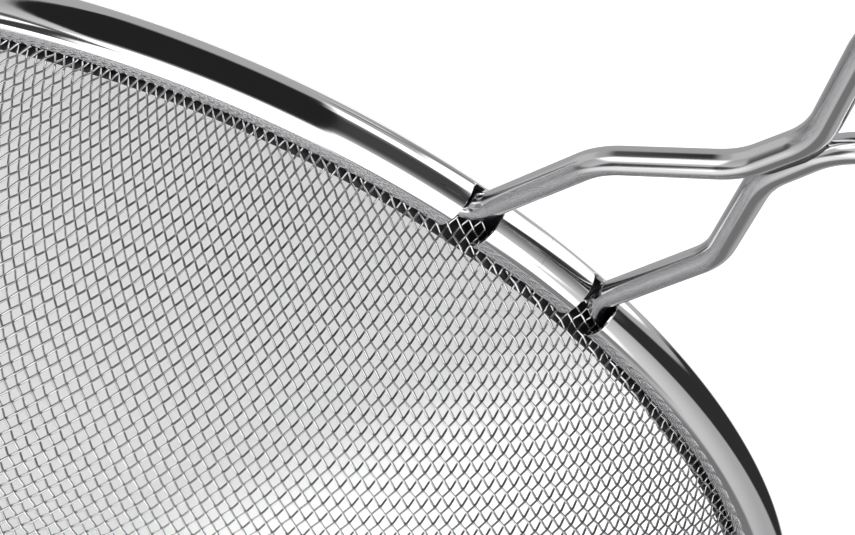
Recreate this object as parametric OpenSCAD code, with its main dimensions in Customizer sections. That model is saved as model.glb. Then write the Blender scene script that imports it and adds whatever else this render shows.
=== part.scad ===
// Round wire-mesh strainer with a looped wire handle, lying mouth down.
// Origin: centre of the mouth, on the plane the rim rests on.
// +X runs along the handle and +Z up through the bowl. Sizes are millimetres.

/* [Rim] */
// Outside diameter of the rim
rim_od = 200; // [160:1:260]
// Diameter of the rolled bead that forms the rim
bead_d = 6.2; // [5.4:0.1:7.5]
// Thickness of the rolled steel strip
strip_t = 0.5; // [0.3:0.05:0.6]
// Depth of the flat that is pressed under the bead
land_depth = 0.1; // [0.05:0.01:0.2]
// Where the mesh enters the bead, in degrees up from straight outwards
slit_angle = 145; // [135:1:150]
// Gap between the two ends of the strip, midway between the handle's legs
seam_gap = 0.12; // [0.05:0.01:0.4]
// Radius on the corners of the cut-outs for the wires
notch_corner_r = 1.2; // [0.4:0.1:1.6]

/* [Mesh bowl] */
// Depth of the bowl above the middle of the bead
bowl_depth = 55; // [45:1:70]
// Thickness of the woven cloth, two wires where they cross
cloth_t = 0.5; // [0.3:0.05:0.7]
// How soon the bowl starts to fall away from its middle
crown = 0.46; // [0.3:0.01:0.6]
// How much the middle of the bowl is filled out before the steep wall
fullness = 0.8; // [0.5:0.01:0.9]
// Space between the cloth and each lip of the bead
slit_clear = 0.2; // [0.1:0.05:0.3]
// Number of openings across the bowl, each standing for a patch of fine mesh
openings_across = 12; // [8:2:12]
// Width of the bars of cloth between the openings
bar_w = 3; // [2:0.5:4]
// Width of the plain band of cloth next to the rim, seen from above
hem_band = 2.2; // [1.8:0.2:6]

/* [Frame wire] */
// Diameter of the wire of the hoop, the handle and the rest hook
wire_d = 3; // [2.5:0.1:3.4]
// Bend radius where the hoop turns out into the handle's legs
root_bend_r = 4; // [3.5:0.1:6]

/* [Handle] */
// Reach of the handle beyond the rim
handle_reach = 180; // [140:1:230]
// Rise of the handle from the plane of the rim, in degrees
handle_rise = 6.6; // [3:0.1:10]
// Distance between the middles of the two legs at the rim
leg_spacing = 18; // [17:0.5:24]
// Distance between the two legs at the first bend
knee_spacing = 17; // [15:0.1:20]
// Length of each leg from the rim's bend to the first bend
leg_length = 18.2; // [13:0.1:24]
// Run of the handle over which the legs come together
converge_length = 13.6; // [11:0.1:20]
// Distance between the middles of the wires where they are pressed together
pinch_spacing = 2.06; // [1.9:0.01:2.4]
// Length over which the wires lie together
pinch_length = 9.8; // [8:0.1:16]
// Run of the handle over which the wires part again
diverge_length = 13.6; // [12:0.1:20]
// Distance between the middles of the two sides of the grip
grip_spacing = 18; // [16:0.5:26]
// Bend radius of the wire along the handle
handle_bend_r = 11; // [6:0.5:12]
// Height of the weld in each groove between the wires
pinch_weld_h = 0.16; // [0.1:0.01:0.2]

/* [Rest hook] */
// Reach of the hook beyond the rim
hook_reach = 15; // [12:0.5:22]
// Distance between the middles of the hook's two legs
hook_spacing = 26; // [20:1:36]
// Bend radius of the hook's corners
hook_bend_r = 6; // [5:0.5:8]

/* [Welds] */
// Thickness of the weld beads around the wires
weld_t = 0.4; // [0.2:0.05:0.5]
// Length of the weld that closes the hoop
hoop_weld_len = 1.6; // [1:0.1:3]

/* [Hidden] */
$fn = 64;

bead_r = bead_d / 2;
bead_inner_r = bead_r - strip_t;
ring_r = rim_od / 2 - bead_r;
ring_z = bead_r - land_depth;
wire_r = wire_d / 2;
steel = [0.78, 0.78, 0.80];

// Bowl: z falls from bowl_depth in the middle to the slit in the bead.
bowl_steps = 26;
slit_r = ring_r + bead_r * cos(slit_angle);
slit_z = bead_r * sin(slit_angle);
hem_clear = 0.1;
function bowl_z(r) =
    let (s = pow(r / slit_r, 2))
    slit_z + (bowl_depth - slit_z)
        * (1 - crown * s + fullness * s * s - (1 - crown + fullness) * s * s * s);
function bowl_slope(r) =
    let (s = pow(r / slit_r, 2))
    (bowl_depth - slit_z) * 2 * r / (slit_r * slit_r)
        * (-crown + 2 * fullness * s - 3 * (1 - crown + fullness) * s * s);
// Steps are closer together on the steep wall.
function bowl_r(i) = slit_r * sin(90 * i / bowl_steps);
function bowl_point(i, side) =
    let (r = bowl_r(i), g = bowl_slope(r), n = sqrt(1 + g * g))
    [max(0, r - side * g / n), bowl_z(r) + side / n];
// Grid of openings, and the circle that it stops at.
cell = 2 * slit_r / openings_across;
band_r = slit_r - hem_band;
least_opening = 4;
// The cloth's edge runs on through the slit, to the wire in the bead.
function hem_point(reach, side) =
    [ring_r + reach * cos(slit_angle) - side * sin(slit_angle),
     reach * sin(slit_angle) + side * cos(slit_angle)];

// Root bend: a fillet outside the hoop that ends along the handle.
root_centre_y = leg_spacing / 2 + root_bend_r;
root_angle = asin(root_centre_y / (ring_r + root_bend_r));
root_centre_x = (ring_r + root_bend_r) * cos(root_angle);
// The legs rise from where the line of each leg meets the hoop's tangent.
rise_x = ring_r * cos(root_angle) + (ring_r * sin(root_angle) - leg_spacing / 2) * tan(root_angle);
function leg_z(x) = ring_z + max(0, x - rise_x) * tan(handle_rise);
handle_x = root_centre_x;
handle_z = leg_z(handle_x);

// Corners of one side of the handle, in its own sloping plane.
grip_end_r = grip_spacing / 2;
knee_x = leg_length;
pinch_x = knee_x + converge_length;
part_x = pinch_x + pinch_length;
grip_x = part_x + diverge_length;
end_x = (rim_od / 2 + handle_reach - wire_r - handle_x) / cos(handle_rise) - grip_end_r;
side_path = [[0, leg_spacing / 2], [knee_x, knee_spacing / 2], [pinch_x, pinch_spacing / 2],
             [part_x, pinch_spacing / 2], [grip_x, grip_spacing / 2], [end_x, grip_spacing / 2]];

// Cut-outs in the rim for the wires.
notch_clear = 0.7;
notch_in = leg_spacing / 2 - wire_r - notch_clear;
notch_out = leg_spacing / 2 + wire_r + notch_clear;
notch_floor = ring_z - wire_r - 0.2;
hook_clear = 0.35;

// Hook: legs start where they meet the hoop.
hook_leg_y = hook_spacing / 2;
hook_root_x = sqrt(ring_r * ring_r - hook_leg_y * hook_leg_y);
hook_end_x = rim_od / 2 + hook_reach - wire_r;
weld_r = wire_r + weld_t;
weld_gap = 0.03;

// Facets of the swept wire.
wire_sides = 20;
bend_step = 7.5;
flat_gap = 0.02;

// Turn between two runs of a path, in degrees, anticlockwise positive.
function heading(p, q) = atan2(q[1] - p[1], q[0] - p[0]);
function turn(p, q, r) = let (t = heading(q, r) - heading(p, q)) t > 180 ? t - 360 : t < -180 ? t + 360 : t;
function setback(path, i, bend_r) =
    (i == 0 || i == len(path) - 1) ? 0
        : bend_r * tan(abs(turn(path[i - 1], path[i], path[i + 1])) / 2);

// One straight run of wire from p towards q, cut back at each end.
module wire_run(p, q, back_p, back_q) {
    length = norm(q - p) - back_p - back_q;
    translate([p[0], p[1], 0]) rotate([0, 0, heading(p, q)]) translate([back_p, 0, 0])
        rotate([0, 90, 0]) cylinder(r = wire_r, h = length);
}

// One bend of wire, tangent to the runs p-q and q-r.
module wire_bend(p, q, r, bend_r) {
    t = turn(p, q, r);
    back = bend_r * tan(abs(t) / 2);
    side = t > 0 ? 1 : -1;
    translate([q[0], q[1], 0]) rotate([0, 0, heading(p, q)]) translate([-back, side * bend_r, 0])
        rotate([0, 0, t > 0 ? -90 : 90 + t])
            rotate_extrude(angle = abs(t)) translate([bend_r, 0]) circle(r = wire_r);
}

// A bent wire along a flat path, with one bend radius.
module wire_path(path, bend_r) {
    for (i = [0 : len(path) - 2])
        wire_run(path[i], path[i + 1], setback(path, i, bend_r), setback(path, i + 1, bend_r));
    for (i = [1 : len(path) - 2])
        wire_bend(path[i - 1], path[i], path[i + 1], bend_r);
}

// Cut-out between two distances from the middle, with rounded inner corners.
module notch(y0, y1) {
    depth = bead_r + 1;
    corner = notch_corner_r;
    translate([ring_r, 0, notch_floor]) linear_extrude(height = bead_d + 1) {
        translate([-depth, y0]) square([2 * depth + 2, y1 - y0]);
        difference() {
            translate([-depth, y0 - corner]) square([depth - bead_r + 1.4 * corner, y1 - y0 + 2 * corner]);
            for (y = [y0 - corner, y1 + corner])
                translate([-bead_r + 1.4 * corner, y]) circle(r = corner);
        }
    }
}

// Cut-out in the bead's outer wall for one straight wire.
module wire_notch(y) {
    translate([hook_root_x, y - wire_r - hook_clear, notch_floor])
        cube([2 * bead_r, wire_d + 2 * hook_clear, bead_d + 1]);
}

// Points of a flat path with its corners rounded.
function corner_points(p, q, r, bend_r) =
    let (t = turn(p, q, r), h = heading(p, q), side = t > 0 ? 1 : -1)
    let (back = bend_r * tan(abs(t) / 2), n = ceil(abs(t) / bend_step))
    let (cx = q[0] - back * cos(h) - side * bend_r * sin(h))
    let (cy = q[1] - back * sin(h) + side * bend_r * cos(h))
    [for (i = [0 : n]) let (a = h + t * i / n) [cx + side * bend_r * sin(a), cy - side * bend_r * cos(a)]];
function rounded(path, bend_r) =
    [for (i = [0 : len(path) - 1]) each (i == 0 || i == len(path) - 1) ? [path[i]]
        : corner_points(path[i - 1], path[i], path[i + 1], bend_r)];

// One half of the handle's middle line, from the hoop to the tip of the grip.
root_points = [for (i = [0 : 9]) let (a = 180 + root_angle + (90 - root_angle) * i / 10)
    let (x = root_centre_x + root_bend_r * cos(a)) [x, root_centre_y + root_bend_r * sin(a), leg_z(x)]];
grip_points = concat(rounded(side_path, handle_bend_r),
    [for (i = [1 : 10]) [end_x + grip_end_r * sin(9 * i), grip_end_r * cos(9 * i)]]);
half_line = concat(root_points, [for (p = grip_points)
    [handle_x + p[0] * cos(handle_rise), p[1], handle_z + p[0] * sin(handle_rise)]]);
handle_line = concat(half_line, [for (i = [len(half_line) - 2 : -1 : 0])
    [half_line[i][0], -half_line[i][1], half_line[i][2]]]);

// A ring of points round the wire; the pressed sides stay flat at the middle plane.
function unit(v) = v / norm(v);
function ring(line, i) =
    let (last = len(line) - 1, along = unit(line[min(i + 1, last)] - line[max(i - 1, 0)]))
    let (side = unit(cross([0, 0, 1], along)), up = cross(along, side), sign_y = i <= last / 2 ? 1 : -1)
    [for (k = [0 : wire_sides - 1]) let (a = 360 * k / wire_sides)
        let (p = line[i] + wire_r * (cos(a) * side + sin(a) * up))
        [p[0], abs(line[i][1]) < flat_gap ? p[1] : sign_y * max(sign_y * p[1], flat_gap / 2), p[2]]];

// A round wire along a line, closed at both ends.
module wire_along(line) {
    n = wire_sides;
    rings = len(line);
    points = [for (i = [0 : rings - 1]) each ring(line, i)];
    sides = [for (i = [0 : rings - 2]) for (k = [0 : n - 1])
        let (a = i * n + k, b = i * n + (k + 1) % n) each [[a, b, b + n], [a, b + n, a + n]]];
    first = [for (k = [n - 1 : -1 : 0]) k];
    last = [for (k = [0 : n - 1]) (rings - 1) * n + k];
    polyhedron(points = points, faces = concat(sides, [first, last]), convexity = 8);
}

// Upright square cut through the bowl, rounded off at the band next to the rim.
module bowl_opening(x, y, side) {
    far = norm([abs(x) + side / 2, abs(y) + side / 2]);
    linear_extrude(height = bowl_depth + bead_d) {
        if (far < band_r) translate([x - side / 2, y - side / 2]) square(side);
        else intersection() {
            translate([x - side / 2, y - side / 2]) square(side);
            circle(r = band_r, $fn = 180);
        }
    }
}

module mesh_bowl() {
    half = cloth_t / 2;
    hem_end = wire_r + hem_clear;
    outer = [for (i = [0 : bowl_steps - 1]) bowl_point(i, half)];
    inner = [for (i = [bowl_steps - 1 : -1 : 0]) bowl_point(i, -half)];
    hem = [hem_point(bead_r, -half), hem_point(hem_end, -half), hem_point(hem_end, half),
           hem_point(bead_r, half)];
    side = cell - bar_w;
    places = [for (i = [0 : openings_across - 1]) (i + 0.5) * cell - slit_r];
    color([0.72, 0.72, 0.74]) difference() {
        translate([0, 0, ring_z]) rotate_extrude($fn = 180) polygon(concat(outer, hem, inner));
        for (x = places) for (y = places)
            if (norm([abs(x) - side / 2, abs(y) - side / 2]) < band_r - least_opening)
                bowl_opening(x, y, side);
    }
}

module rim_strip() {
    slit_w = cloth_t + 2 * slit_clear;
    color(steel) difference() {
        translate([0, 0, ring_z]) rotate_extrude($fn = 180) translate([ring_r, 0]) difference() {
            circle(r = bead_r);
            circle(r = bead_inner_r);
            rotate(slit_angle) translate([0, -slit_w / 2]) square([bead_d, slit_w]);
            translate([-bead_r, -bead_d - ring_z]) square([bead_d, bead_d]);
        }
        notch(notch_in, notch_out);
        mirror([0, 1, 0]) notch(notch_in, notch_out);
        translate([0, -seam_gap / 2, -1]) cube([rim_od, seam_gap, bead_d + 2]);
        mirror([1, 0, 0]) {
            wire_notch(hook_leg_y);
            wire_notch(-hook_leg_y);
        }
    }
}

module hoop_wire() {
    color(steel) translate([0, 0, ring_z]) rotate([0, 0, root_angle])
        rotate_extrude(angle = 360 - 2 * root_angle, $fn = 180) translate([ring_r, 0]) circle(r = wire_r);
}

// Ring of weld metal where the ends of the hoop wire are joined, opposite the handle.
module hoop_weld() {
    color(steel) difference() {
        translate([-ring_r, hoop_weld_len / 2, ring_z]) rotate([90, 0, 0])
            cylinder(r = weld_r, h = hoop_weld_len);
        translate([0, 0, ring_z]) rotate_extrude($fn = 180) translate([ring_r, 0]) circle(r = wire_r);
    }
}

// Both legs, the pinched waist and the grip loop, bent from one wire.
module handle_wire() {
    color(steel) wire_along(handle_line);
}

// Weld metal in the two grooves between the pressed wires.
module pinch_weld() {
    crease = sqrt(wire_r * wire_r - pow(pinch_spacing / 2, 2));
    back = handle_bend_r * tan(atan2(knee_spacing / 2 - pinch_spacing / 2, converge_length) / 2);
    ahead = handle_bend_r * tan(atan2(grip_spacing / 2 - pinch_spacing / 2, diverge_length) / 2);
    run = pinch_length - back - ahead;
    color(steel) translate([handle_x, 0, handle_z]) rotate([0, -handle_rise, 0])
        translate([pinch_x + back, 0, 0]) rotate([90, 0, 90]) linear_extrude(height = run) difference() {
            translate([-pinch_spacing / 2, -crease - pinch_weld_h])
                square([pinch_spacing, 2 * (crease + pinch_weld_h)]);
            for (y = [-1, 1]) translate([y * pinch_spacing / 2, 0]) circle(r = wire_r);
        }
}

// Wire loop opposite the handle that rests on the edge of a bowl or pan.
module rest_hook() {
    path = [[hook_root_x, hook_leg_y], [hook_end_x, hook_leg_y], [hook_end_x, -hook_leg_y],
            [hook_root_x, -hook_leg_y]];
    color(steel) difference() {
        translate([0, 0, ring_z]) mirror([1, 0, 0]) wire_path(path, hook_bend_r);
        translate([0, 0, ring_z]) rotate_extrude($fn = 180) translate([ring_r, 0]) circle(r = wire_r);
    }
}

// Rings of weld metal where the hook's legs meet the hoop.
module hook_welds() {
    reach = wire_r + 0.6;
    color(steel) translate([0, 0, ring_z]) mirror([1, 0, 0]) for (side = [-1, 1]) difference() {
        translate([hook_root_x, side * hook_leg_y, 0]) rotate([0, 90, 0]) cylinder(r = weld_r, h = reach);
        translate([hook_root_x - 1, side * hook_leg_y, 0]) rotate([0, 90, 0])
            cylinder(r = wire_r + weld_gap, h = reach + 2);
        rotate_extrude($fn = 180) translate([ring_r, 0]) circle(r = wire_r);
    }
}

mesh_bowl();
rim_strip();
hoop_wire();
hoop_weld();
handle_wire();
pinch_weld();
rest_hook();
hook_welds();
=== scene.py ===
import math

import bpy
import numpy as np
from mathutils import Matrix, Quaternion, Vector


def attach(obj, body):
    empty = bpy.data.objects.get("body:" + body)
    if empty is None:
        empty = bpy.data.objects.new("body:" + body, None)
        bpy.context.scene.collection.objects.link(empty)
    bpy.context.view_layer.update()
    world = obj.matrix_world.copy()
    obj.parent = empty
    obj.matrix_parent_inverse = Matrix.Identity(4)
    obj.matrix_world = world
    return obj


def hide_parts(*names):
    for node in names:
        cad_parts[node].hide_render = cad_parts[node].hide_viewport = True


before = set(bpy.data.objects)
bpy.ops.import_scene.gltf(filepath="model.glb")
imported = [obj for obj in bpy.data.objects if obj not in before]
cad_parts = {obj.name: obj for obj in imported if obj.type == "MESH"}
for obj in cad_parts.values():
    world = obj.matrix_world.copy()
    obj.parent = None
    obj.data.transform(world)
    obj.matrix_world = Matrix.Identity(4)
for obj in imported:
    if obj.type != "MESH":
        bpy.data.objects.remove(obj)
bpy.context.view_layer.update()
mm = 0.001
print("frame loaded")


# Camera

studioView = {
    "place": (0.23483, 0.07839, 0.11883),
    "aim": (0.08369, 0.00542, 0.003),
    "roll": -158.92,  # degrees about the line of sight: the bowl hangs down in the picture
    "lens": 73.67,
    "sensor": 36,
    "nearest": 0.01,
}


def placeCamera(settings):
    data = bpy.data.cameras.new("studioCamera")
    data.lens = settings["lens"]
    data.sensor_width = settings["sensor"]
    data.clip_start = settings["nearest"]
    eye = bpy.data.objects.new("studioCamera", data)
    bpy.context.scene.collection.objects.link(eye)
    sight = Vector(settings["aim"]) - Vector(settings["place"])
    level = sight.to_track_quat("-Z", "Y")
    eye.rotation_mode = "QUATERNION"
    eye.rotation_quaternion = level @ Quaternion((0, 0, 1), math.radians(settings["roll"]))
    eye.location = settings["place"]
    bpy.context.scene.camera = eye


placeCamera(studioView)


# Node helpers

def addNode(tree, kind, **settings):
    node = tree.nodes.new(kind)
    for name, value in settings.items():
        setattr(node, name, value)
    return node


def feed(tree, socket, value):
    if isinstance(value, (int, float)):
        socket.default_value = value
    else:
        tree.links.new(value, socket)


def mathNode(tree, operation, *values):
    node = addNode(tree, "ShaderNodeMath", operation=operation)
    for socket, value in zip(node.inputs, values):
        feed(tree, socket, value)
    return node.outputs[0]


def storedValue(tree, label, kind="FLOAT"):
    node = addNode(tree, "GeometryNodeInputNamedAttribute", data_type=kind)
    node.inputs["Name"].default_value = label
    return node.outputs["Attribute"]


def keepValue(tree, geometry, label, value):
    # Records a value on a curve's points, so that the swept wire still has it.
    keep = addNode(tree, "GeometryNodeCaptureAttribute", domain="POINT")
    keep.capture_items.new("FLOAT", label)
    tree.links.new(geometry, keep.inputs["Geometry"])
    tree.links.new(value, keep.inputs[label])
    return keep


# Swept wire, which the cloth, the frame, the weld and the hook share

def sweepTree():
    # Rounds the path's corners, runs a round wire along it and stores how far along and how far
    # round each point lies, for the finish.
    tree = bpy.data.node_groups.new("sweptWire", "GeometryNodeTree")
    face = tree.interface
    inputs = (("Path", "Geometry", None), ("Wire radius", "Float", 0.0015), ("Crimp", "Float", 0.0),
              ("Sides", "Int", 24), ("Bend steps", "Int", 12), ("Finish", "Material", None))
    for label, kind, value in inputs:
        socket = face.new_socket(label, in_out="INPUT", socket_type=f"NodeSocket{kind}")
        if value is not None:
            socket.default_value = value
    face.new_socket("Wire", in_out="OUTPUT", socket_type="NodeSocketGeometry")
    link = tree.links.new
    given = addNode(tree, "NodeGroupInput")
    height = mathNode(tree, "MULTIPLY", given.outputs["Crimp"], storedValue(tree, "lift"))
    push = addNode(tree, "ShaderNodeVectorMath", operation="SCALE")
    link(storedValue(tree, "outward", "FLOAT_VECTOR"), push.inputs[0])
    link(height, push.inputs["Scale"])
    crimped = addNode(tree, "GeometryNodeSetPosition")
    link(given.outputs["Path"], crimped.inputs["Geometry"])
    link(push.outputs[0], crimped.inputs["Offset"])
    line = addNode(tree, "GeometryNodeMeshToCurve")
    link(crimped.outputs[0], line.inputs["Mesh"])
    rounded = addNode(tree, "GeometryNodeFilletCurve", mode="POLY")
    link(line.outputs[0], rounded.inputs["Curve"])
    link(given.outputs["Bend steps"], rounded.inputs["Count"])
    link(storedValue(tree, "bend"), rounded.inputs["Radius"])
    rounded.inputs["Limit Radius"].default_value = True
    along = addNode(tree, "GeometryNodeSplineParameter").outputs["Length"]
    path = keepValue(tree, rounded.outputs[0], "along", along)
    ring = addNode(tree, "GeometryNodeCurvePrimitiveCircle", mode="RADIUS")
    link(given.outputs["Sides"], ring.inputs["Resolution"])
    link(given.outputs["Wire radius"], ring.inputs["Radius"])
    around = addNode(tree, "GeometryNodeSplineParameter").outputs["Factor"]
    section = keepValue(tree, ring.outputs[0], "around", around)
    wire = addNode(tree, "GeometryNodeCurveToMesh")
    link(path.outputs["Geometry"], wire.inputs["Curve"])
    link(section.outputs["Geometry"], wire.inputs["Profile Curve"])
    wire.inputs["Fill Caps"].default_value = True
    angle = mathNode(tree, "MULTIPLY", section.outputs["around"], math.tau)
    place = addNode(tree, "ShaderNodeCombineXYZ")
    link(path.outputs["along"], place.inputs[0])
    link(mathNode(tree, "COSINE", angle), place.inputs[1])
    link(mathNode(tree, "SINE", angle), place.inputs[2])
    marked = addNode(tree, "GeometryNodeStoreNamedAttribute",
                     data_type="FLOAT_VECTOR", domain="POINT")
    marked.inputs["Name"].default_value = "wirePlace"
    link(wire.outputs[0], marked.inputs["Geometry"])
    link(place.outputs[0], marked.inputs["Value"])
    smooth = addNode(tree, "GeometryNodeSetShadeSmooth")
    link(marked.outputs[0], smooth.inputs["Geometry"])
    real = addNode(tree, "GeometryNodeRealizeInstances")
    link(smooth.outputs[0], real.inputs[0])
    painted = addNode(tree, "GeometryNodeSetMaterial")
    link(real.outputs[0], painted.inputs["Geometry"])
    link(given.outputs["Finish"], painted.inputs["Material"])
    result = addNode(tree, "NodeGroupOutput")
    link(painted.outputs[0], result.inputs["Wire"])
    return tree


def pathMesh(name, lines, closed=False):
    # Each line is a dictionary of points, with their bend radius, lift and outward direction
    # where it has them.
    counts = [len(line["points"]) for line in lines]
    points = np.vstack([line["points"] for line in lines])
    edges = []
    for count, start in zip(counts, np.cumsum([0] + counts)):
        step = np.arange(count if closed else count - 1)
        edges.append(np.c_[start + step, start + (step + 1) % count])
    edges = np.vstack(edges)
    mesh = bpy.data.meshes.new(name)
    mesh.vertices.add(len(points))
    mesh.vertices.foreach_set("co", points.astype(np.float32).ravel())
    mesh.edges.add(len(edges))
    mesh.edges.foreach_set("vertices", edges.astype(np.int32).ravel())
    for label in ("bend", "lift"):
        values = np.concatenate([line.get(label, np.zeros(count))
                                 for line, count in zip(lines, counts)])
        stored = mesh.attributes.new(label, "FLOAT", "POINT")
        stored.data.foreach_set("value", values.astype(np.float32))
    outward = np.vstack([line.get("outward", np.zeros((count, 3)))
                         for line, count in zip(lines, counts)])
    stored = mesh.attributes.new("outward", "FLOAT_VECTOR", "POINT")
    stored.data.foreach_set("vector", outward.astype(np.float32).ravel())
    mesh.update()
    return mesh


def growPiece(name, mesh, tree, settings):
    piece = bpy.data.objects.new(name, mesh)
    bpy.context.scene.collection.objects.link(piece)
    modifier = piece.modifiers.new(tree.name, "NODES")
    modifier.node_group = tree
    sockets = {item.name: item.identifier for item in tree.interface.items_tree
               if item.item_type == "SOCKET" and item.in_out == "INPUT"}
    for label, value in settings.items():
        modifier[sockets[label]] = value
    bpy.context.view_layer.update()
    depsgraph = bpy.context.evaluated_depsgraph_get()
    grown = bpy.data.meshes.new_from_object(piece.evaluated_get(depsgraph), depsgraph=depsgraph)
    grown.name = name
    piece.modifiers.remove(modifier)
    piece.data = grown
    bpy.data.meshes.remove(mesh)
    for label in ("bend", "lift", "outward"):
        if label in grown.attributes:
            grown.attributes.remove(grown.attributes[label])
    return piece


def sweepWire(name, mesh, wire, finish, crimp=0.0):
    return growPiece(name, mesh, wireSweep, {
        "Wire radius": wire["wire"] / 2 * mm, "Crimp": crimp * mm, "Sides": wire["sides"],
        "Bend steps": wire["bendSteps"], "Finish": steel[finish]})


# Finishes

finishes = {
    "clothSteel": {"colour": (0.73, 0.73, 0.74), "shade": 0.10, "roughness": (0.06, 0.13),
                   "grain": (900, 900, 900), "bump": 0.0, "drawn": False},
    "rimSteel": {"colour": (0.86, 0.86, 0.87), "shade": 0.03, "roughness": (0.045, 0.085),
                 "grain": (140, 140, 140), "bump": 0.00001, "drawn": False},
    # streaks run along the wire: grain along it and across it
    "wireSteel": {"colour": (0.80, 0.80, 0.81), "shade": 0.06, "roughness": (0.10, 0.17),
                  "grain": (40, 9, 9), "bump": 0.000003, "drawn": True},
    # inside of the bead: the steel painted near-black, painted shade of the hollow
    "hollowSteelPaintedShade": {"colour": (0.14, 0.14, 0.14), "shade": 0.30, "roughness": (0.5, 0.7),
                    "grain": (200, 200, 200), "bump": 0.0, "drawn": False},
    "weldSteel": {"colour": (0.13, 0.125, 0.12), "shade": 0.35, "roughness": (0.45, 0.65),
                  "grain": (1400, 1400, 1400), "bump": 0.00006, "drawn": False},
}
steelGrain = {"detail": 4, "low": 0.3, "high": 0.7}  # the noise, and the part that the roughness follows


def steelFinish(name, settings):
    material = bpy.data.materials.new(name)
    material.use_nodes = True
    tree = material.node_tree
    link = tree.links.new
    shader = tree.nodes["Principled BSDF"]
    shader.inputs["Metallic"].default_value = 1
    if settings["drawn"]:
        place = addNode(tree, "ShaderNodeAttribute", attribute_name="wirePlace").outputs["Vector"]
    else:
        place = addNode(tree, "ShaderNodeTexCoord").outputs["Object"]
    fit = addNode(tree, "ShaderNodeMapping")
    fit.inputs["Scale"].default_value = settings["grain"]
    link(place, fit.inputs["Vector"])
    grain = addNode(tree, "ShaderNodeTexNoise")
    grain.inputs["Scale"].default_value = 1
    grain.inputs["Detail"].default_value = steelGrain["detail"]
    link(fit.outputs[0], grain.inputs["Vector"])
    tint = addNode(tree, "ShaderNodeMix", data_type="RGBA")
    dark = [part * (1 - settings["shade"]) for part in settings["colour"]]
    tint.inputs["A"].default_value = (*dark, 1)
    tint.inputs["B"].default_value = (*settings["colour"], 1)
    link(grain.outputs["Fac"], tint.inputs["Factor"])
    link(tint.outputs["Result"], shader.inputs["Base Color"])
    polish = addNode(tree, "ShaderNodeMapRange")
    polish.inputs["From Min"].default_value = steelGrain["low"]
    polish.inputs["From Max"].default_value = steelGrain["high"]
    polish.inputs["To Min"].default_value = settings["roughness"][0]
    polish.inputs["To Max"].default_value = settings["roughness"][1]
    link(grain.outputs["Fac"], polish.inputs["Value"])
    link(polish.outputs[0], shader.inputs["Roughness"])
    if settings["bump"]:
        relief = addNode(tree, "ShaderNodeBump")
        relief.inputs["Strength"].default_value = 1
        relief.inputs["Distance"].default_value = settings["bump"]
        link(grain.outputs["Fac"], relief.inputs["Height"])
        link(relief.outputs[0], shader.inputs["Normal"])
    return material


steel = {name: steelFinish(name, settings) for name, settings in finishes.items()}
wireSweep = sweepTree()
print("finishes made")


# Middle line of the bead, which the cloth, the strip and the hoop share
rimRing = {"radius": 96.9, "height": 3.0}


# Woven cloth

cloth = {
    "pitch": 1.24674,  # mm between wires
    "wire": 0.29,
    "sides": 6,
    "crimp": 0.19,  # how far a wire would swing to either side of the middle with sharp bends
    "crimpBend": 0.62,
    "bendSteps": 1,
    "depth": 55.0,  # bowl above the middle of the bead
    "crown": 0.46,
    "fullness": 0.80,
    "slitRadius": 94.36,
    "slitHeight": 1.78,
    "hem": 3.3,  # how far the wires run on into the bead
    "hemFall": 35.0,  # degrees
    "turn": -108.37,  # direction of one set of wires
    "phase": (-0.0695, 0.387),  # where the wires nearest the middle pass it
    "pull": 0.0122,  # how much the pressing evened out the spacing
    "lastWire": 112,  # wires tried to each side of the middle
    "lastCrossing": 108,
    "shortest": 4,  # crossings that a wire has at least
    "shares": 4,  # pieces for each set of wires
}

# Knots of the pressed cloth in a quarter of the bowl, and how each is found by small moves
net = {
    "size": 118,
    "firstGuess": 0.8,
    "edgeRounds": 8,
    "knotRounds": 7,
    "longestMove": 0.6,
    "leastSpread": 0.001,
}


def bowlHeight(r2, c):
    s = r2 / c["slitRadius"] ** 2
    fall = 1 - c["crown"] * s + c["fullness"] * s**2 - (1 - c["crown"] + c["fullness"]) * s**3
    return c["slitHeight"] + (c["depth"] - c["slitHeight"]) * fall


def bowlFall(r2, c):
    # slope of the wall divided by the radius
    s = r2 / c["slitRadius"] ** 2
    rate = -c["crown"] + 2 * c["fullness"] * s - 3 * (1 - c["crown"] + c["fullness"]) * s**2
    return 2 * (c["depth"] - c["slitHeight"]) * rate / c["slitRadius"] ** 2


def meridianSteps(c, n):
    # Radii of the knots along the wire that passes over the middle.
    reach = [0.0]
    for _ in range(n["size"]):
        x = reach[-1]
        guess = x + n["firstGuess"] * c["pitch"]
        for _ in range(n["edgeRounds"]):
            rise = bowlHeight(guess**2, c) - bowlHeight(x**2, c)
            miss = (guess - x) ** 2 + rise**2 - c["pitch"] ** 2
            guess -= miss / (2 * (guess - x) + 2 * rise * guess * bowlFall(guess**2, c))
        reach.append(guess)
    return np.array(reach)


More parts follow.
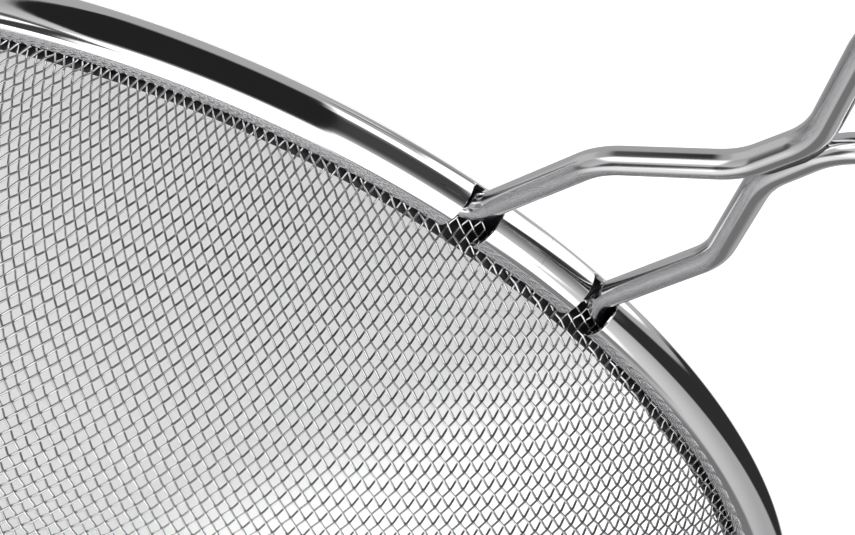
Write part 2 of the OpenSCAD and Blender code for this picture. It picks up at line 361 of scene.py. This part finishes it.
def drapedNet(c, n):
    # Square cloth pressed over the bowl: every mesh keeps its side length, only its corners shear.
    size, most = n["size"], n["longestMove"]
    x, y = np.zeros((size + 1, size + 1)), np.zeros((size + 1, size + 1))
    x[:, 0] = y[0, :] = meridianSteps(c, n)
    for diagonal in range(2, 2 * size + 1):
        i = np.arange(max(1, diagonal - size), min(size, diagonal - 1) + 1)
        j = diagonal - i
        ax, ay, bx, by = x[i - 1, j], y[i - 1, j], x[i, j - 1], y[i, j - 1]
        az, bz = bowlHeight(ax**2 + ay**2, c), bowlHeight(bx**2 + by**2, c)
        px, py = ax + bx - x[i - 1, j - 1], ay + by - y[i - 1, j - 1]
        for _ in range(n["knotRounds"]):
            r2 = px**2 + py**2
            pz, fall = bowlHeight(r2, c), bowlFall(r2, c)
            missA = (px - ax) ** 2 + (py - ay) ** 2 + (pz - az) ** 2 - c["pitch"] ** 2
            missB = (px - bx) ** 2 + (py - by) ** 2 + (pz - bz) ** 2 - c["pitch"] ** 2
            axx, axy = 2 * (px - ax + (pz - az) * fall * px), 2 * (py - ay + (pz - az) * fall * py)
            bxx, bxy = 2 * (px - bx + (pz - bz) * fall * px), 2 * (py - by + (pz - bz) * fall * py)
            spread = axx * bxy - axy * bxx
            spread = np.where(np.abs(spread) < n["leastSpread"], n["leastSpread"], spread)
            px = px - np.clip((missA * bxy - axy * missB) / spread, -most, most)
            py = py - np.clip((axx * missB - bxx * missA) / spread, -most, most)
        x[i, j], y[i, j] = px, py
    return x, y


def netPoint(knots, u, v, c):
    # Point of the cloth at u and v wires from the middle, read between the knots.
    size = knots[0].shape[0] - 1
    au, av = np.minimum(np.abs(u), size - 1e-6), np.minimum(np.abs(v), size - 1e-6)
    i, j = au.astype(int), av.astype(int)
    fu, fv = au - i, av - j
    place = []
    for axis, sign, flat in ((knots[0], np.sign(u), u), (knots[1], np.sign(v), v)):
        value = (axis[i, j] * (1 - fu) * (1 - fv) + axis[i + 1, j] * fu * (1 - fv)
                 + axis[i, j + 1] * (1 - fu) * fv + axis[i + 1, j + 1] * fu * fv)
        place.append((1 - c["pull"]) * value * sign + c["pull"] * flat * c["pitch"])
    return place


def wireLine(knots, index, along, c):
    # One wire of the cloth, a point at each crossing, cut off inside the bead.
    number = np.arange(-c["lastCrossing"], c["lastCrossing"] + 1)
    running = number + c["phase"][along]
    still = np.full(len(number), index + c["phase"][1 - along])
    u, v = (running, still) if along == 0 else (still, running)
    x, y = netPoint(knots, u, v, c)
    r = np.hypot(x, y)
    edgeSlope = -bowlFall(c["slitRadius"] ** 2, c) * c["slitRadius"]
    beyond = (r - c["slitRadius"]) * math.hypot(1, edgeSlope)
    kept = beyond < c["hem"]
    middle = len(number) // 2
    if not kept[middle]:
        return None
    first = middle - np.argmin(kept[middle::-1]) + 1
    last = middle + np.argmin(kept[middle:]) - 1
    span = slice(first, last + 1)
    if last + 1 - first < c["shortest"]:
        return None
    x, y, r, beyond, number = x[span], y[span], r[span], beyond[span], number[span]
    fall = math.radians(c["hemFall"])
    inBead = beyond > 0
    z = np.where(inBead, c["slitHeight"] - beyond * math.sin(fall), bowlHeight(r**2, c))
    slope = np.where(inBead, -math.tan(fall), bowlFall(r**2, c) * r)
    newR = np.where(inBead, c["slitRadius"] + beyond * math.cos(fall), r)
    ex, ey = x / r, y / r
    tall = np.sqrt(1 + slope**2)
    outward = np.c_[-slope * ex / tall, -slope * ey / tall, 1 / tall]
    points = np.c_[newR * ex, newR * ey, z]
    over = np.where((number + index) % 2 == 0, 1.0, -1.0)
    turn = math.radians(c["turn"])
    spin = np.array([[math.cos(turn), math.sin(turn), 0], [-math.sin(turn), math.cos(turn), 0],
                     [0, 0, 1]])
    points = points @ spin
    points[:, 2] += rimRing["height"]
    return {"points": points * mm, "lift": over if along == 0 else -over,
            "outward": outward @ spin, "bend": np.full(len(over), c["crimpBend"] * mm)}


def weaveCloth(c, n):
    knots = drapedNet(c, n)
    pieces = []
    for along, side in ((0, "warp"), (1, "weft")):
        wires = range(-c["lastWire"], c["lastWire"] + 1)
        lines = [wireLine(knots, index, along, c) for index in wires]
        lines = [line for line in lines if line is not None]
        sizes = np.cumsum([len(line["points"]) for line in lines])
        share = np.minimum((sizes - 1) * c["shares"] // sizes[-1], c["shares"] - 1)
        for part in range(c["shares"]):
            group = [line for line, owner in zip(lines, share) if owner == part]
            mesh = pathMesh(f"{side}Lines{part + 1}", group)
            pieces.append(sweepWire(f"{side}Wires{part + 1}", mesh, c, "clothSteel", c["crimp"]))
        print(side, len(lines), "wires,", int(sizes[-1]), "crossings")
    return pieces


for piece in weaveCloth(cloth, net):
    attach(piece, "root")
    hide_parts("mesh_bowl")
print("cloth woven")


# Rolled rim

rim = {
    "bead": 6.2,  # mm across the rolled bead
    "strip": 0.5,
    "land": 0.1,
    "slitAngle": 145.0,
    "slitWidth": 0.9,
    "seam": 0.02,
    "notchInner": 6.8,  # the cut-outs run between these distances from the middle
    "notchOuter": 11.2,
    "notchFloor": -1.7,  # below the middle of the bead
    # radii of the cut-outs' corners, which begin this far in from the bead's inner side
    "corners": {"bridgeLeft": 0.7, "bridgeRight": 2.2, "longLeft": 1.3, "longRight": 0.4},
    "cornerInset": 0.3,
    # behind the cloth the strip's inner edge stands up: distance from the bead's middle line
    # inwards and height, first its bowl side and then its cloth side
    "upstand": [((-3.12, 0.5), (-2.64, 0.5)), ((-3.15, 1.0), (-2.70, 1.0)),
                ((-3.22, 1.5), (-2.88, 1.5)), ((-3.30, 1.9), (-2.98, 1.9)),
                ((-3.38, 2.2), (-3.06, 2.2)), ((-3.50, 2.65), (-3.20, 2.65))],
    "edge": 0.07,  # rounding of the strip's edges
    "edgeSteps": 2,
    "seamEdge": 0.1,  # share of that rounding at the seam
    # rows of faces from the slit to the shoulder, on to the cut-outs' floor, under, and up inside
    "shoulder": 104,
    "rows": (18, 30, 26, 7),
    "bridgeColumns": 14,
    "notchColumns": 9,
    "columns": 300,
    "crowding": 0.35,  # how much closer the long side's columns are at its ends
}


def cornerSetback(x, start, radius):
    # How far a rounded corner draws the strip's end back, x being the distance outwards
    # from the bead's middle line.
    inside = np.clip((start - x) / radius, 0, 1)
    return radius * (1 - np.sqrt(1 - inside**2))


def endAzimuth(angle, y, back, radius, r):
    # Azimuth of a strip end that lies y from the middle plane, for one place round the bead.
    across = r["bead"] / 2 * math.cos(angle)
    setback = 0.0
    if radius:
        start = -r["bead"] / 2 + r["cornerInset"] + radius
        setback = float(cornerSetback(across, start, radius))
    return math.asin((y + back * setback) / (rimRing["radius"] + across))


def rimRows(r):
    # Places round the bead's section, and how many of them lie above the cut-outs' floor.
    slitHalf = math.degrees(r["slitWidth"] / r["bead"])
    floor = math.degrees(math.asin(r["notchFloor"] / (r["bead"] / 2)))
    crown, outside, under, inside = r["rows"]
    upper = [np.linspace(r["slitAngle"] - slitHalf, r["shoulder"], crown),
             np.linspace(r["shoulder"], floor, outside)[1:]]
    lower = [np.linspace(floor, -180 - floor, under)[1:],
             np.linspace(-180 - floor, -180, inside)[1:],
             np.full(len(r["upstand"]), -180.0)]
    return np.radians(np.concatenate(upper + lower)), sum(len(part) for part in upper)


def rimColumns(angle, r):
    # Azimuths along the strip from seam to seam, for one place round the bead.
    corner = r["corners"]
    leftIn = endAzimuth(angle, r["notchInner"], -1, corner["bridgeLeft"], r)
    leftOut = endAzimuth(angle, r["notchOuter"], 1, corner["longLeft"], r)
    rightIn = math.tau - endAzimuth(angle, r["notchInner"], -1, corner["bridgeRight"], r)
    rightOut = math.tau - endAzimuth(angle, r["notchOuter"], 1, corner["longRight"], r)
    seamAt = endAzimuth(angle, r["seam"] / 2, 0, 0, r)
    even = np.linspace(0, 1, r["columns"] + 1)
    crowded = 0.5 - 0.5 * np.cos(math.pi * even)
    spread = r["crowding"] * crowded + (1 - r["crowding"]) * even
    return np.concatenate([
        np.linspace(seamAt, leftIn, r["bridgeColumns"]),
        np.linspace(leftIn, leftOut, r["notchColumns"])[1:],
        leftOut + spread[1:] * (rightOut - leftOut),
        np.linspace(rightOut, rightIn, r["notchColumns"])[1:],
        np.linspace(rightIn, math.tau - seamAt, r["bridgeColumns"])[1:]])


def rimSkin(angles, azimuth, side, r):
    # Points of the strip's outer skin (side 0) or inner skin (side 1).
    radius = r["bead"] / 2 - side * r["strip"]
    ringR = rimRing["radius"] + radius * np.cos(angles)
    height = rimRing["height"] + radius * np.sin(angles)
    height = np.maximum(height, rimRing["height"] - r["bead"] / 2 + r["land"])
    upstand = np.array([sides[side] for sides in r["upstand"]])
    ringR[-len(upstand):] = rimRing["radius"] + upstand[:, 0]
    height[-len(upstand):] = rimRing["height"] + upstand[:, 1]
    ringR, height = ringR[:, None], height[:, None]
    return np.stack([ringR * np.cos(azimuth), ringR * np.sin(azimuth), height + 0 * azimuth],
                    axis=-1)


def stripFaces(present, r):
    # Faces of both skins and of the walls between them, each with its finish, and how much
    # the edges are rounded.
    rows, cols = present.shape
    count = cols + 1
    size = (rows + 1) * count
    faces, finish, eased = [], [], {}
    for i, j in np.argwhere(present).tolist():
        a, b = i * count + j, (i + 1) * count + j
        faces += [(a, b, b + 1, a + 1), (size + a, size + a + 1, size + b + 1, size + b)]
        # outer skin polished, inner skin near-black: painted shade inside the bead
        finish += [0, 1]
        seamLeft = r["seamEdge"] if j == 0 else 1.0
        seamRight = r["seamEdge"] if j == cols - 1 else 1.0
        walls = ((i == 0 or not present[i - 1, j], a, a + 1, 1.0),
                 (i == rows - 1 or not present[i + 1, j], b + 1, b, 1.0),
                 (j == 0 or not present[i, j - 1], b, a, seamLeft),
                 (j == cols - 1 or not present[i, j + 1], a + 1, b + 1, seamRight))
        for needed, p, q, rounding in walls:
            if needed:
                faces.append((p, q, size + q, size + p))
                finish.append(1 if min(p, q) >= rows * count else 0)
                for side in (0, size):
                    eased[min(p, q) + side, max(p, q) + side] = rounding
    return faces, finish, eased


def rollRim(r):
    angles, upperRows = rimRows(r)
    azimuth = np.array([rimColumns(angle, r) for angle in angles])
    present = np.ones((azimuth.shape[0] - 1, azimuth.shape[1] - 1), bool)
    bridge, notch = r["bridgeColumns"] - 1, r["notchColumns"] - 1
    # the cut-outs end above their floor: the wall below the slit stays whole
    present[:upperRows - 1, bridge:bridge + notch] = False
    present[:upperRows - 1, -bridge - notch:-bridge] = False
    skins = [rimSkin(angles, azimuth, side, r).reshape(-1, 3) for side in (0, 1)]
    faces, finish, eased = stripFaces(present, r)
    mesh = bpy.data.meshes.new("rolledRim")
    mesh.from_pydata((np.concatenate(skins) * mm).tolist(), [], faces)
    mesh.update()
    mesh.shade_smooth()
    mesh.polygons.foreach_set("material_index", finish)
    weights = [eased.get((min(e.vertices), max(e.vertices)), 0.0) for e in mesh.edges]
    mesh.attributes.new("bevel_weight_edge", "FLOAT", "EDGE").data.foreach_set("value", weights)
    piece = bpy.data.objects.new("rolledRim", mesh)
    bpy.context.scene.collection.objects.link(piece)
    mesh.materials.append(steel["rimSteel"])
    # second finish: painted shade inside the bead
    mesh.materials.append(steel["hollowSteelPaintedShade"])
    rounding = piece.modifiers.new("easedEdges", "BEVEL")
    rounding.width = r["edge"] * mm
    rounding.segments = r["edgeSteps"]
    rounding.limit_method = "WEIGHT"
    rounding.harden_normals = True
    return piece


rolledRim = rollRim(rim)
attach(rolledRim, "root")
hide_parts("rim_strip")
print("rim rolled")


# Frame wire

frameWire = {
    "wire": 3.0,
    "sides": 32,
    "bendSteps": 14,
    "rootAngle": 7.40,  # where the hoop turns out of the rim, degrees from the handle's middle
    "rootBend": 4.0,
    "hoopPoints": 181,
    "rise": 6.6,  # degrees
    "legStart": 100.06,  # the handle's lengths are measured from here
    "legHalf": 9.0,
    # distance along the handle, half the spacing, bend radius, and whether the wires are stacked
    "corners": [(18.2, 8.48, 11.0, 0), (31.8, 1.36, 11.0, 1), (41.6, 1.14, 11.0, 1),
                (55.2, 9.0, 11.0, 0), (179.63, 9.0, 8.98, 0)],
    "stack": 0.28,  # at the waist one wire lies this much higher and the other lower
}


def hoopTurn(w):
    # Distance from the middle at which the hoop's line turns out into the leg.
    root = math.radians(w["rootAngle"])
    setback = w["rootBend"] * math.tan(math.radians(90 - w["rootAngle"]) / 2)
    return rimRing["radius"] * math.cos(root) + setback * math.sin(root)


def handlePoint(w, s, y, up):
    # Point at s along the handle, y across it and up square to both.
    rise = math.radians(w["rise"])
    startZ = rimRing["height"] + (w["legStart"] - hoopTurn(w)) * math.tan(rise)
    return (w["legStart"] + s * math.cos(rise) - up * math.sin(rise), y,
            startZ + s * math.sin(rise) + up * math.cos(rise))


def frameCorners(w, side):
    # From the hoop to the tip of the grip, on one side of the middle, each with its bend.
    rows = [(hoopTurn(w), side * w["legHalf"], rimRing["height"], w["rootBend"])]
    for s, y, bend, stacked in w["corners"]:
        rows.append((*handlePoint(w, s, side * y, side * stacked * w["stack"]), bend))
    return rows


def bendFrame(w):
    hoop = np.radians(np.linspace(w["rootAngle"], 360 - w["rootAngle"], w["hoopPoints"]))
    rows = [(rimRing["radius"] * math.cos(a), rimRing["radius"] * math.sin(a),
             rimRing["height"], 0.0) for a in hoop]
    rows += frameCorners(w, -1)
    rows += frameCorners(w, 1)[::-1]
    rows = np.array(rows) * mm
    mesh = pathMesh("framePath", [{"points": rows[:, :3], "bend": rows[:, 3]}], closed=True)
    return sweepWire("frameWire", mesh, w, "wireSteel")


# Weld at the waist

waistWeld = {
    "wire": 0.90,
    "sides": 12,
    "bendSteps": 4,
    "bend": 3.0,
    # distance along the handle and half the wires' spacing there
    "stations": [(31.8, 1.60), (33.4, 1.42), (34.6, 1.30), (38.8, 1.20), (40.4, 1.32),
                 (41.6, 1.46)],
}


def layWeld(weld, w):
    # The weld fills the groove between the two wires, above and below.
    lines = []
    for face in (1, -1):
        rows = []
        for s, half in weld["stations"]:
            apart = math.hypot(half, w["stack"])
            deep = face * math.sqrt(max(0, (w["wire"] / 2) ** 2 - apart**2))
            rows.append(handlePoint(w, s, -deep * w["stack"] / apart, deep * half / apart))
        lines.append({"points": np.array(rows) * mm, "bend": np.full(len(rows), weld["bend"] * mm)})
    return sweepWire("waistWeld", pathMesh("weldPath", lines), weld, "weldSteel")


weldPiece = layWeld(waistWeld, frameWire)
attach(weldPiece, "root")
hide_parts("pinch_weld")
wirePiece = bendFrame(frameWire)
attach(wirePiece, "root")
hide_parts("hoop_wire", "handle_wire")


# Rest hook

restHook = {"wire": 3.0, "sides": 32, "bendSteps": 14, "bend": 6.0, "start": 96.5, "reach": 113.5,
            "half": 13.0}


def bendHook(h):
    height = rimRing["height"]
    rows = np.array([(-h["start"], h["half"], height, 0),
                     (-h["reach"], h["half"], height, h["bend"]),
                     (-h["reach"], -h["half"], height, h["bend"]),
                     (-h["start"], -h["half"], height, 0)]) * mm
    mesh = pathMesh("hookPath", [{"points": rows[:, :3], "bend": rows[:, 3]}])
    return sweepWire("hookWire", mesh, h, "wireSteel")


hookPiece = bendHook(restHook)
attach(hookPiece, "root")
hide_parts("rest_hook")

for name in ("hoop_weld", "hook_welds"):
    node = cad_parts[name]
    node.data.materials.clear()
    node.data.materials.append(steel["weldSteel"])
print("wires bent")


# Studio

studio = {
    "around": (0.44, 0.74),  # what the steel reflects at floor level and just below the ceiling
    "aroundFrom": (10, 65),  # elevations in degrees between which it changes
    "overhead": 2.00,
    "overheadFrom": (53, 60),  # elevations where the bright ceiling begins
    "fill": (0.40, 0.72),  # light on the floor, from low down and from overhead
    "fillFrom": (10, 60),
    # cards and dark cloths: middle azimuth and elevation, half width and half height, lean,
    # softness across and up, brightness
    "cards": [
        (-130, 59, 28, 9, 0.0, 12, 8, 0.24),
        (-14, 56, 25, 14, 0.0, 12, 8, 2.00),
        (-27, -10, 13, 25, 0.0, 6, 56, 0.03),
        (0, 0, 14, 34, 0.0, 6, 34, 0.06),
        (37, -2, 25, 55, 0.0, 3, 12, 0.018),
        (-80, -26, 42, 22, 0.75, 5, 5, 0.03),
        (-100, -66, 26, 13, 0.0, 6, 4, 0.50),
        (-137, 22, 18, 24, 0.0, 10, 14, 0.20),
        (-42, -57, 31, 25, 0.68, 6, 5, 1.50),
        (1, -45, 12, 13, -0.40, 5, 5, 1.50),
        (-85, -64, 14, 3, 0.0, 6, 4, 1.20),
        (-65, -77, 72, 5, 0.0, 10, 5, 0.26),
        (78, 54, 5, 10, 0.0, 6, 6, 0.10),
        (112, 66, 34, 5, 0.0, 4, 4, 0.05),
        (82, -15, 12, 22, 0.0, 14, 12, 0.03),
        (123, -12, 14, 22, 0.0, 8, 8, 0.60),
        (135, 51, 19, 7, 0.0, 6, 6, 0.05),
        (145, 26, 9, 8, 1.3, 6, 6, 0.07),
        (165, -4, 14, 32, 0.0, 10, 10, 0.28),
        (180, 49, 18, 7, 0.0, 10, 8, 1.00),
        (99, 24, 11, 14, 0.0, 8, 6, 1.50),
    ],
}

studioFloor = {
    "size": 6.0,
    "colour": (0.80, 0.80, 0.80),
    "roughness": 0.9,
    "glow": 0.80,  # what the camera sees on top of the lit floor
    # painted shadow under the bowl: this much of the glow is taken away there, fading out towards a
    # radius and along y
    "shade": 0.52,
    "paintedShadowRadii": (0.097, 0.088),
    "paintedShadowAlong": (-0.036, -0.008),
}


def linearMix(tree, factor, first, second):
    mix = addNode(tree, "ShaderNodeMix", data_type="FLOAT")
    for socket, value in (("Factor", factor), ("A", first), ("B", second)):
        feed(tree, mix.inputs[socket], value)
    return mix.outputs["Result"]


def softStep(tree, value, low, high):
    step = addNode(tree, "ShaderNodeMapRange", interpolation_type="SMOOTHSTEP")
    step.inputs["From Min"].default_value = low
    step.inputs["From Max"].default_value = high
    tree.links.new(value, step.inputs["Value"])
    return step.outputs[0]


def hangCard(tree, azimuth, elevation, glow, card):
    middle, height, halfWidth, halfHeight, lean, softAcross, softUp, level = card
    across = mathNode(tree, "WRAP", mathNode(tree, "SUBTRACT", azimuth, middle), 180, -180)
    up = mathNode(tree, "SUBTRACT", mathNode(tree, "SUBTRACT", elevation, height),
                  mathNode(tree, "MULTIPLY", across, lean))
    inside = []
    for offset, half, soft in ((across, halfWidth, softAcross), (up, halfHeight, softUp)):
        distance = mathNode(tree, "ABSOLUTE", offset)
        inside.append(softStep(tree, distance, half + soft / 2, half - soft / 2))
    return linearMix(tree, mathNode(tree, "MULTIPLY", *inside), glow, level)


def lightStudio(s):
    world = bpy.data.worlds.new("studio")
    bpy.context.scene.world = world
    world.use_nodes = True
    tree = world.node_tree
    tree.nodes.clear()
    where = addNode(tree, "ShaderNodeTexCoord")
    split = addNode(tree, "ShaderNodeSeparateXYZ")
    tree.links.new(where.outputs["Generated"], split.inputs[0])
    x, y, z = split.outputs
    azimuth = mathNode(tree, "DEGREES", mathNode(tree, "ARCTAN2", y, x))
    elevation = mathNode(tree, "DEGREES", mathNode(tree, "ARCSINE", z))
    glow = linearMix(tree, softStep(tree, elevation, *s["aroundFrom"]), *s["around"])
    glow = linearMix(tree, softStep(tree, elevation, *s["overheadFrom"]), glow, s["overhead"])
    for card in s["cards"]:
        glow = hangCard(tree, azimuth, elevation, glow, card)
    rays = addNode(tree, "ShaderNodeLightPath")
    fill = linearMix(tree, softStep(tree, elevation, *s["fillFrom"]), *s["fill"])
    glow = linearMix(tree, rays.outputs["Is Diffuse Ray"], glow, fill)
    glow = linearMix(tree, rays.outputs["Is Camera Ray"], glow, 1.0)
    shine = addNode(tree, "ShaderNodeBackground")
    shine.inputs["Color"].default_value = (1, 1, 1, 1)
    tree.links.new(glow, shine.inputs["Strength"])
    result = addNode(tree, "ShaderNodeOutputWorld")
    tree.links.new(shine.outputs[0], result.inputs["Surface"])


def layFloor(f):
    half = f["size"] / 2
    mesh = bpy.data.meshes.new("studioFloor")
    mesh.from_pydata([(-half, -half, 0), (half, -half, 0), (half, half, 0), (-half, half, 0)], [],
                     [(0, 1, 2, 3)])
    floor = bpy.data.objects.new("studioFloor", mesh)
    bpy.context.scene.collection.objects.link(floor)
    material = bpy.data.materials.new("paleFloor")
    material.use_nodes = True
    tree = material.node_tree
    link = tree.links.new
    shader = tree.nodes["Principled BSDF"]
    shader.inputs["Base Color"].default_value = (*f["colour"], 1)
    shader.inputs["Roughness"].default_value = f["roughness"]
    shader.inputs["Specular IOR Level"].default_value = 0.0
    shader.inputs["Emission Color"].default_value = (1, 1, 1, 1)
    where = addNode(tree, "ShaderNodeTexCoord")
    reach = addNode(tree, "ShaderNodeVectorMath", operation="LENGTH")
    link(where.outputs["Object"], reach.inputs[0])
    split = addNode(tree, "ShaderNodeSeparateXYZ")
    link(where.outputs["Object"], split.inputs[0])
    # painted shadow: the camera sees less glow on the floor under the bowl
    under = mathNode(tree, "MULTIPLY",
                     softStep(tree, reach.outputs["Value"], *f["paintedShadowRadii"]),
                     softStep(tree, split.outputs[1], *f["paintedShadowAlong"]))
    glowLessPaintedShadow = mathNode(tree, "ADD", mathNode(tree, "MULTIPLY", under, -f["shade"]), f["glow"])
    rays = addNode(tree, "ShaderNodeLightPath")
    link(mathNode(tree, "MULTIPLY", rays.outputs["Is Camera Ray"], glowLessPaintedShadow),
         shader.inputs["Emission Strength"])
    mesh.materials.append(material)
    floor.visible_glossy = False  # the steel reflects the cards and the dark cloths instead


lightStudio(studio)
layFloor(studioFloor)
bpy.context.scene.view_settings.view_transform = "Standard"
print("studio lit")
